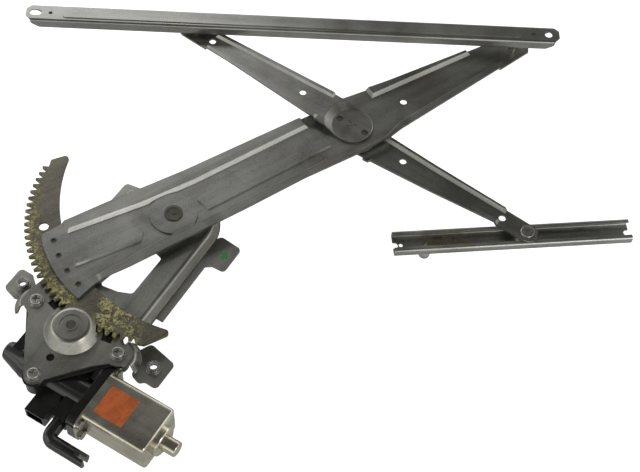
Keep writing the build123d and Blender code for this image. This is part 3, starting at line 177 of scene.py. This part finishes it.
# Materials
class Paint:
    """A material's node tree, with short calls for the nodes that it is made of."""

    def __init__(self, name):
        self.material = bpy.data.materials.new(name)
        self.material.use_nodes = True
        self.tree = self.material.node_tree
        self.shader = self.tree.nodes["Principled BSDF"]
        self.place = self.tree.nodes.new("ShaderNodeTexCoord").outputs["Object"]

    def link(self, value, socket):
        if isinstance(value, bpy.types.NodeSocket):
            self.tree.links.new(value, socket)
        else:
            socket.default_value = value

    def math(self, operation, first, second=0.0):
        node = self.tree.nodes.new("ShaderNodeMath")
        node.operation = operation
        self.link(first, node.inputs[0])
        self.link(second, node.inputs[1])
        return node.outputs[0]

    def plus(self, first, second):
        return self.math("ADD", first, second)

    def minus(self, first, second):
        return self.math("SUBTRACT", first, second)

    def times(self, first, second):
        return self.math("MULTIPLY", first, second)

    def moved(self, centre=(0, 0, 0), turn=0.0, stretch=(1, 1, 1)):
        """Object coordinates in metres about a centre, turned so that x runs along the turn."""
        shift = self.tree.nodes.new("ShaderNodeVectorMath")
        shift.operation = "SUBTRACT"
        self.link(self.place, shift.inputs[0])
        shift.inputs[1].default_value = centre
        spin = self.tree.nodes.new("ShaderNodeVectorRotate")
        spin.rotation_type = "Z_AXIS"
        self.link(shift.outputs[0], spin.inputs["Vector"])
        spin.inputs["Angle"].default_value = -turn
        scale = self.tree.nodes.new("ShaderNodeVectorMath")
        scale.operation = "MULTIPLY"
        self.link(spin.outputs[0], scale.inputs[0])
        scale.inputs[1].default_value = stretch
        return scale.outputs[0]

    def split(self, vector):
        node = self.tree.nodes.new("ShaderNodeSeparateXYZ")
        self.link(vector, node.inputs[0])
        return node.outputs

    def noise(self, scale, detail=4.0, roughness=0.55, distortion=0.0, vector=None):
        node = self.tree.nodes.new("ShaderNodeTexNoise")
        self.link(self.place if vector is None else vector, node.inputs["Vector"])
        node.inputs["Scale"].default_value = scale
        node.inputs["Detail"].default_value = detail
        node.inputs["Roughness"].default_value = roughness
        node.inputs["Distortion"].default_value = distortion
        return node.outputs["Fac"]

    def span(self, value, low, high, to_low=0.0, to_high=1.0):
        """The value carried from one range to another, and held at its ends."""
        node = self.tree.nodes.new("ShaderNodeMapRange")
        node.interpolation_type = "SMOOTHSTEP"
        for socket, number in zip(node.inputs, (value, low, high, to_low, to_high)):
            self.link(number, socket)
        return node.outputs[0]

    def band(self, value, low, high, soft):
        """One between two values and nothing outside them, with soft edges."""
        return self.times(self.span(value, low - soft, low + soft),
                          self.span(value, high - soft, high + soft, 1.0, 0.0))

    def mix(self, share, first, second):
        node = self.tree.nodes.new("ShaderNodeMix")
        node.data_type = "RGBA"
        for index, value in ((0, share), (6, first), (7, second)):
            self.link((*value, 1) if isinstance(value, tuple) else value, node.inputs[index])
        return node.outputs[2]

    def bump(self, height, strength, distance, below=None):
        node = self.tree.nodes.new("ShaderNodeBump")
        self.link(height, node.inputs["Height"])
        node.inputs["Strength"].default_value = strength
        node.inputs["Distance"].default_value = distance
        if below is not None:
            self.link(below, node.inputs["Normal"])
        return node.outputs[0]

    def finish(self, **sockets):
        for name, value in sockets.items():
            socket = self.shader.inputs[name.replace("_", " ")]
            self.link((*value, 1) if isinstance(value, tuple) else value, socket)
        return self.material


# Sheet steel. A texture is its scale, detail, roughness and distortion, an edge is the two
# values of a texture between which a mark fades in, and a relief is its strength and depth
STREAKS, BLOTCHES, GRAIN = (90, 3, 0.6), (22, 5, 0.62, 0.6), (900, 2, 0.5)
SCUFFS, OIL, WAVES = (260, 4, 0.7), (14, 3, 0.5, 1.2), (9, 2, 0.5)
STREAK_STRETCH, SCUFF_STRETCH, SCUFF_TURN = (0.06, 1, 1), (0.12, 1, 1), 0.4
STREAK_SHARE, BLOTCH_SHARE, GRAIN_SHARE = 0.35, 0.40, 0.25
STEEL_TONE, OIL_EDGE, SCRATCH_EDGE = (0.36, 0.64), (0.52, 0.72), (0.66, 0.74)
OIL_COLOUR, OIL_SHINE = (0.33, 0.27, 0.18), 0.15
SCRATCH_SHARE, SCRATCH_GAIN = 0.35, 1.5
BLOTCH_ROUGHNESS, SHEET_METAL = 0.22, 0.92
STREAK_RELIEF, GRAIN_RELIEF, WAVE_RELIEF = (0.10, 0.0003), (0.12, 0.0001), (0.16, 0.004)


def rolled_steel(name, dark, light, roughness, turn=0.0, stain=0.25, marks=None):
    """Stamped sheet steel: rolling streaks along one way, oily blotches and fine scuffs."""
    paint = Paint(name)
    streaks = paint.noise(*STREAKS, vector=paint.moved(turn=turn, stretch=STREAK_STRETCH))
    blotches = paint.noise(*BLOTCHES)
    grain = paint.noise(*GRAIN)
    scuffs = paint.noise(*SCUFFS, vector=paint.moved(turn=turn + SCUFF_TURN, stretch=SCUFF_STRETCH))
    tone = paint.plus(paint.times(streaks, STREAK_SHARE), paint.times(blotches, BLOTCH_SHARE))
    tone = paint.plus(tone, paint.times(grain, GRAIN_SHARE))
    colour = paint.mix(paint.span(tone, *STEEL_TONE), dark, light)
    oily = paint.times(paint.span(paint.noise(*OIL), *OIL_EDGE), stain)
    colour = paint.mix(oily, colour, OIL_COLOUR)
    scratch = paint.times(paint.span(scuffs, *SCRATCH_EDGE), SCRATCH_SHARE)
    colour = paint.mix(scratch, colour, tuple(SCRATCH_GAIN * part for part in light))
    rough = paint.plus(paint.times(blotches, BLOTCH_ROUGHNESS), roughness - BLOTCH_ROUGHNESS / 2)
    rough = paint.plus(rough, paint.times(oily, -OIL_SHINE))
    metal = SHEET_METAL
    if marks:
        colour, metal = marks(paint, colour)
    relief = paint.bump(streaks, *STREAK_RELIEF)
    relief = paint.bump(grain, *GRAIN_RELIEF, below=relief)
    relief = paint.bump(paint.noise(*WAVES), *WAVE_RELIEF, below=relief)
    return paint.finish(Base_Color=colour, Metallic=metal, Roughness=rough, Normal=relief)


# Grease on the sector, with places in metres from the main pivot
# The pale paste tone is a painted highlight on the grease lumps; the dark paste tone is the grease's own
# colour
GREASE, PASTE_DARK, PASTE_HIGHLIGHT = (0.075, 0.068, 0.022), (0.20, 0.185, 0.065), (0.62, 0.58, 0.28)
LUMPS, CRUMBS, PATCHES = (210, 6, 0.72, 0.5), (620, 4, 0.7), (34, 3, 0.5, 0.6)
LUMP_EDGE, PATCH_EDGE, CLOT_EDGE, CRUMB_HIGHLIGHT_TONE = (0.36, 0.50), (0.38, 0.52), (0.45, 0.54), (0.42, 0.58)
LUMP_SHARE, CRUMB_SHARE = 0.55, 0.45
RIM_EDGE, RIM_RAGGED, RIM_SHARE = (0.115, 0.124), 0.012, 0.1
RUN_LOW, RUN_HIGH, RUN_SOFT, RUN_SHARE = -0.095, 0.010, 0.030, 0.6
HEAP_LEFT, HEAP_RIGHT, HEAP_SOFT, HEAP_SHARE = -0.098, -0.020, 0.012, 0.95
HEAP_TOP = (-0.050, -0.082)
TOOTH_METAL, GREASE_HIDES = 0.9, 0.8


def greased_teeth(paint, colour):
    """Old grease along the sector's teeth, thick where the pinion runs; its pale paste tone is a painted
    highlight on the lumps.
    """
    x, y, _ = paint.split(paint.moved(PIVOT))
    away = paint.math("SQRT", paint.plus(paint.times(x, x), paint.times(y, y)))
    lumps = paint.noise(*LUMPS)
    ragged = paint.span(lumps, *LUMP_EDGE)
    rim = paint.span(paint.plus(away, paint.times(lumps, RIM_RAGGED)), *RIM_EDGE)
    run = paint.times(paint.band(y, RUN_LOW, RUN_HIGH, RUN_SOFT), RUN_SHARE)
    rim = paint.times(paint.times(rim, ragged), paint.plus(run, RIM_SHARE))
    heap = paint.times(paint.band(x, HEAP_LEFT, HEAP_RIGHT, HEAP_SOFT), paint.span(y, *HEAP_TOP))
    heap = paint.times(heap, paint.span(paint.noise(*PATCHES), *PATCH_EDGE))
    heap = paint.times(paint.times(heap, ragged), HEAP_SHARE)
    share = paint.math("MAXIMUM", rim, heap)
    colour = paint.mix(share, colour, GREASE)
    crumbs = paint.noise(*CRUMBS)
    clots = paint.plus(paint.times(lumps, LUMP_SHARE), paint.times(crumbs, CRUMB_SHARE))
    thick = paint.times(paint.span(clots, *CLOT_EDGE), share)
    # Paste tone mixed by noise between the grease's own dark colour and a pale painted highlight on the
    # lumps
    paste_with_highlights = paint.mix(paint.span(crumbs, *CRUMB_HIGHLIGHT_TONE), PASTE_DARK, PASTE_HIGHLIGHT)
    colour = paint.mix(thick, colour, paste_with_highlights)
    return colour, paint.minus(TOOTH_METAL, paint.times(share, GREASE_HIDES))


# Stain in the guide channel, with places in metres from the slider's stud
STAIN_COLOUR, STAIN_SHARE, STAIN_HIDES = (0.16, 0.125, 0.035), 0.75, 0.7
STAIN_LUMPS, STAIN_EDGE, STAIN_RAGGED = (150, 4, 0.6, 0.7), (0.42, 0.56), 0.03
STAIN_LEFT, STAIN_RIGHT, STAIN_SOFT = -0.072, -0.030, 0.012
WEB_HALF, WEB_SOFT, CHANNEL_METAL = 0.0085, 0.002, 0.9


def channel_stain(paint, colour):
    """Grease left on the web of the guide channel, a little left of its slider."""
    x, y, _ = paint.split(paint.moved(GUIDE_END, GUIDE_TURN))
    lumps = paint.noise(*STAIN_LUMPS)
    near = paint.band(paint.plus(x, paint.times(lumps, STAIN_RAGGED)), STAIN_LEFT, STAIN_RIGHT,
                      STAIN_SOFT)
    inside = paint.band(y, -WEB_HALF, WEB_HALF, WEB_SOFT)
    share = paint.times(paint.times(near, inside), paint.span(lumps, *STAIN_EDGE))
    colour = paint.mix(paint.times(share, STAIN_SHARE), colour, STAIN_COLOUR)
    return colour, paint.minus(CHANNEL_METAL, paint.times(share, STAIN_HIDES))


# Dab of paint on the right-hand tab, with its place in metres from the main pivot
DAB_SHIFT, DAB_TURN = Vector((0.0443, -0.0300, 0)), radians(60)
DAB_COLOUR, DAB_SHARE, DAB_HIDES = (0.035, 0.33, 0.075), 0.9, 0.85
DAB_WOBBLE, DAB_RAGGED, DAB_SQUASH = (420, 3), 0.0060, 1.6
DAB_EDGE, DAB_HEIGHT = (0.0066, 0.0076), (0.006, 0.004)


def green_dab(paint, colour):
    """A dab of green paint on the right-hand tab, below the height of the arm."""
    x, y, z = paint.split(paint.moved(PIVOT + DAB_SHIFT, DAB_TURN))
    squashed = paint.times(paint.times(y, y), DAB_SQUASH)
    away = paint.math("SQRT", paint.plus(paint.times(x, x), squashed))
    away = paint.plus(away, paint.times(paint.noise(*DAB_WOBBLE), DAB_RAGGED))
    dab = paint.times(paint.span(away, *DAB_EDGE, 1.0, 0.0), paint.span(z, *DAB_HEIGHT))
    colour = paint.mix(paint.times(dab, DAB_SHARE), colour, DAB_COLOUR)
    return colour, paint.minus(SHEET_METAL, paint.times(dab, DAB_HIDES))


# Machined and turned metal
CLOUDS, FINE_GRAIN, CLOUD_TONE = (160, 4, 0.6), (500, 2), (0.35, 0.65)
CLOUD_DARK, CLOUD_ROUGHNESS, CLOUD_OFFSET = 0.7, 0.25, 0.12
TURNED_METAL, FINE_RELIEF = 0.95, (0.03, 0.0001)


def bright_steel(name, colour, roughness):
    paint = Paint(name)
    clouds = paint.noise(*CLOUDS)
    tone = paint.mix(paint.span(clouds, *CLOUD_TONE), tuple(CLOUD_DARK * part for part in colour), colour)
    rough = paint.plus(paint.times(clouds, CLOUD_ROUGHNESS), roughness - CLOUD_OFFSET)
    return paint.finish(Base_Color=tone, Metallic=TURNED_METAL, Roughness=rough,
                        Normal=paint.bump(paint.noise(*FINE_GRAIN), *FINE_RELIEF))


# Moulded plastic: a fine grain and a paler haze
MOULD_GRAIN, HAZE, HAZE_TONE = (1400, 3, 0.6), (40, 4, 0.6), (0.35, 0.75)
HAZE_GAIN, HAZE_LIFT, HAZE_ROUGHNESS, MOULD_RELIEF = 1.8, 0.004, 0.2, (0.10, 0.0001)


def moulded_plastic(name, colour, roughness, coat=0.0):
    paint = Paint(name)
    haze = paint.noise(*HAZE)
    pale = tuple(part * HAZE_GAIN + HAZE_LIFT for part in colour)
    tone = paint.mix(paint.span(haze, *HAZE_TONE), colour, pale)
    rough = paint.plus(paint.times(haze, HAZE_ROUGHNESS), roughness - HAZE_ROUGHNESS / 2)
    return paint.finish(Base_Color=tone, Roughness=rough, Coat_Weight=coat,
                        Normal=paint.bump(paint.noise(*MOULD_GRAIN), *MOULD_RELIEF))


# Label stock
LABEL_DARK, LABEL_LIGHT, LABEL_WORN = (0.46, 0.098, 0.018), (0.62, 0.145, 0.028), (0.50, 0.26, 0.14)
WEAR, SPECKS, PAPER = (110, 5, 0.65, 0.5), (420, 3), (320, 3)
WEAR_TONE, SPECK_EDGE = (0.38, 0.62), (0.68, 0.76)
PAPER_ROUGHNESS, PAPER_RELIEF = 0.5, (0.12, 0.0003)


def label_stock(name):
    """Bare orange label: coated paper with darker clouds and small scuffs."""
    paint = Paint(name)
    colour = paint.mix(paint.span(paint.noise(*WEAR), *WEAR_TONE), LABEL_DARK, LABEL_LIGHT)
    colour = paint.mix(paint.span(paint.noise(*SPECKS), *SPECK_EDGE), colour, LABEL_WORN)
    return paint.finish(Base_Color=colour, Roughness=PAPER_ROUGHNESS,
                        Normal=paint.bump(paint.noise(*PAPER), *PAPER_RELIEF))


# Nodes by finish
FINISHES = {
    "arm": ["lift_arm", "cross_hub"],
    "front_arm": ["front_half_arm", "rear_half_arm"],
    "base": ["base_plate"],
    "rail": ["glass_channel"],
    "guide": ["guide_channel"],
    "sector": ["sector_gear"],
    "can": ["motor_can"],
    "rivet": ["pivot_rivet", "sector_rivets", "hub_rivets", "output_pinion"],
    "bright": ["weld_nuts", "motor_screws", "can_screws", "front_roller_stud", "rear_roller_stud",
               "guide_stud", "guide_standoffs", "armature_shaft", "armature_core"],
    "black": ["gear_housing", "gear_cover", "end_frame", "breather_tube", "brush_holder"],
    "nylon": ["glass_roller_front", "glass_roller_rear", "guide_slider", "worm_wheel"],
    "rubber": ["wheel_damper"],
    "magnet": ["magnets"],
    "bronze": ["pivot_bush", "shaft_bearings"],
    "copper": ["commutator", "connector_pins"],
}
STEEL_DARK, STEEL_LIGHT, BASE_ROLLING = (0.22, 0.22, 0.205), (0.40, 0.40, 0.375), radians(60)


def make_materials():
    """Paints by finish. Sheet steels give a dark and a light tone, then a roughness."""
    paints = {
        "arm": rolled_steel("arm_steel", STEEL_DARK, STEEL_LIGHT, 0.32, LIFT_TURN),
        "front_arm": rolled_steel("front_arm_steel", STEEL_DARK, STEEL_LIGHT, 0.32, -LIFT_TURN),
        "base": rolled_steel("base_steel", (0.25, 0.25, 0.23), (0.44, 0.44, 0.40), 0.33,
                             BASE_ROLLING, marks=green_dab),
        "rail": rolled_steel("rail_steel", (0.27, 0.272, 0.258), (0.42, 0.422, 0.40), 0.32),
        "guide": rolled_steel("guide_steel", (0.25, 0.252, 0.235), (0.46, 0.462, 0.435), 0.33,
                              GUIDE_TURN, marks=channel_stain),
        "sector": rolled_steel("sector_steel", (0.115, 0.108, 0.090), (0.23, 0.217, 0.18), 0.40,
                               LIFT_TURN, stain=0.5, marks=greased_teeth),
        "can": rolled_steel("can_zinc", (0.50, 0.48, 0.39), (0.84, 0.81, 0.68), 0.20, MOTOR_TURN,
                            stain=0.35),
        "bright": bright_steel("bright_steel", (0.55, 0.54, 0.50), 0.27),
        "black": moulded_plastic("black_moulding", (0.0075, 0.0075, 0.007), 0.24, coat=0.35),
        "nylon": moulded_plastic("white_nylon", (0.62, 0.60, 0.54), 0.45),
        "rubber": moulded_plastic("rubber", (0.02, 0.02, 0.02), 0.75),
        "magnet": moulded_plastic("ferrite", (0.05, 0.05, 0.055), 0.6),
        "rivet": bright_steel("rivet_steel", (0.16, 0.155, 0.13), 0.45),
        "bronze": bright_steel("bronze", (0.42, 0.28, 0.12), 0.4),
        "copper": bright_steel("copper", (0.62, 0.30, 0.17), 0.35),
        "label": label_stock("label_stock"),
    }
    for finish, nodes in FINISHES.items():
        for node in nodes:
            mesh = NODES[node].data
            mesh.materials.clear()
            mesh.materials.append(paints[finish])
    return paints


# Edges of stamped and moulded pieces are rolled a little, in millimetres, to catch the light
EDGE_ROLL = {"base_plate": 0.6, "lift_arm": 0.9, "front_half_arm": 0.8, "rear_half_arm": 0.8,
             "glass_channel": 0.4, "guide_channel": 0.5, "gear_housing": 0.8, "end_frame": 0.6,
             "motor_can": 0.7, "sector_gear": 0.25}
DEFAULT_ROLL, ROLL_SEGMENTS = 0.2, 2
FLAT_ANGLE, SHARP_ANGLE = radians(0.4), radians(28)
WELD_REACH, FACE_WEIGHT = 2e-6, 100


def dress_nodes():
    for name, node in NODES.items():
        node.data.shade_smooth()
        node.data.set_sharp_from_angle(angle=SHARP_ANGLE)
        weld = node.modifiers.new("weld", "WELD")
        weld.merge_threshold = WELD_REACH
        flat = node.modifiers.new("flat", "DECIMATE")
        flat.decimate_type, flat.angle_limit = "DISSOLVE", FLAT_ANGLE
        roll = node.modifiers.new("roll", "BEVEL")
        roll.width = EDGE_ROLL.get(name, DEFAULT_ROLL) * MM
        roll.segments, roll.limit_method, roll.angle_limit = ROLL_SEGMENTS, "ANGLE", SHARP_ANGLE
        even = node.modifiers.new("even", "WEIGHTED_NORMAL")
        even.mode, even.weight, even.keep_sharp = "FACE_AREA", FACE_WEIGHT, True


# Label on the can, in metres, with its middle as a shift from the main pivot
LABEL_SIDE, LABEL_THICK, LABEL_ROUND, LABEL_STEPS = 0.026, 0.00012, 0.0012, 5
LABEL_SHIFT, CAN_TOP = Vector((-0.0312, -0.1761, 0)), 0.009


def make_label(paints):
    """Bare square label on the can's flat top, with rounded corners."""
    centre = PIVOT + LABEL_SHIFT
    straight = LABEL_SIDE / 2 - LABEL_ROUND
    ring = []
    for corner in range(4):
        for step in range(LABEL_STEPS + 1):
            angle = pi / 2 * (corner + step / LABEL_STEPS)
            sign_x = 1 if corner in (0, 3) else -1
            sign_y = 1 if corner in (0, 1) else -1
            ring.append((straight * sign_x + LABEL_ROUND * cos(angle),
                         straight * sign_y + LABEL_ROUND * sin(angle)))
    shape = bmesh.new()
    turn = Matrix.Rotation(MOTOR_TURN, 3, "Z")
    lower = [shape.verts.new(turn @ Vector((x, y, 0)) + Vector((centre.x, centre.y, CAN_TOP)))
             for x, y in ring]
    upper = [shape.verts.new(vertex.co + Vector((0, 0, LABEL_THICK))) for vertex in lower]
    shape.faces.new(upper)
    shape.faces.new(list(reversed(lower)))
    for index in range(len(ring)):
        after = (index + 1) % len(ring)
        shape.faces.new((lower[index], lower[after], upper[after], upper[index]))
    mesh = bpy.data.meshes.new("can_label")
    shape.to_mesh(mesh)
    shape.free()
    mesh.materials.append(paints["label"])
    label = bpy.data.objects.new("can_label", mesh)
    bpy.context.scene.collection.objects.link(label)
    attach(label, "base")


make_camera()
make_stage()
PAINTS = make_materials()
dress_nodes()
make_label(PAINTS)
